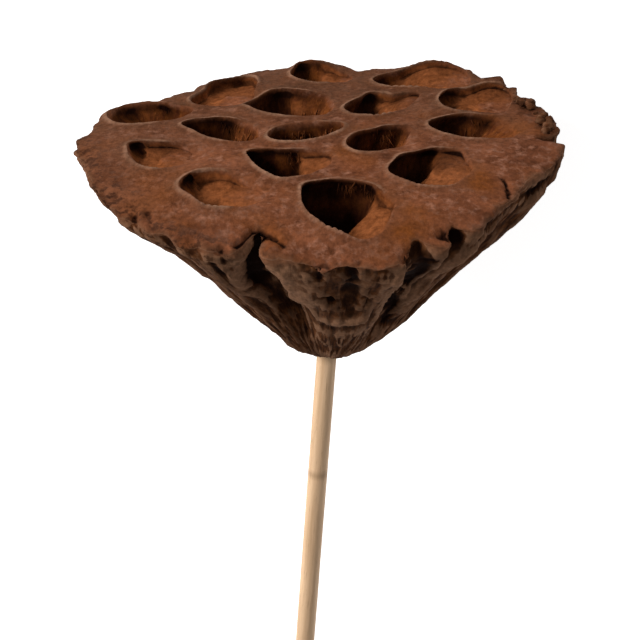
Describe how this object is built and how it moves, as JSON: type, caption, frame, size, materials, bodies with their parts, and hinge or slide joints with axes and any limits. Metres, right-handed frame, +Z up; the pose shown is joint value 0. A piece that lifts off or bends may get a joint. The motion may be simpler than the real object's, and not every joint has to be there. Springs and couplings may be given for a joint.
{
  "type": "dried lotus pod",
  "caption": "Dried lotus seed pod with a wavy face of open, empty seed pockets and a creased funnel, on a plain wooden stick, lying on its side.",
  "frame": {"origin": "middle of the footprint of the lying object, on the surface it lies on", "axes": "+Y from the stick's far end to the pod's face, +X to the right across the face, +Z up"},
  "size_m": [0.0956, 0.3262, 0.0872],
  "materials": {
    "pod": "matte, velvety, dried brown skin with orange-brown pocket walls",
    "stick": "bare pale wood with fine lengthwise fibres"
  },
  "bodies": {
    "root": {"pod": "pod", "stick": "stick"}
  },
  "joints": []
}
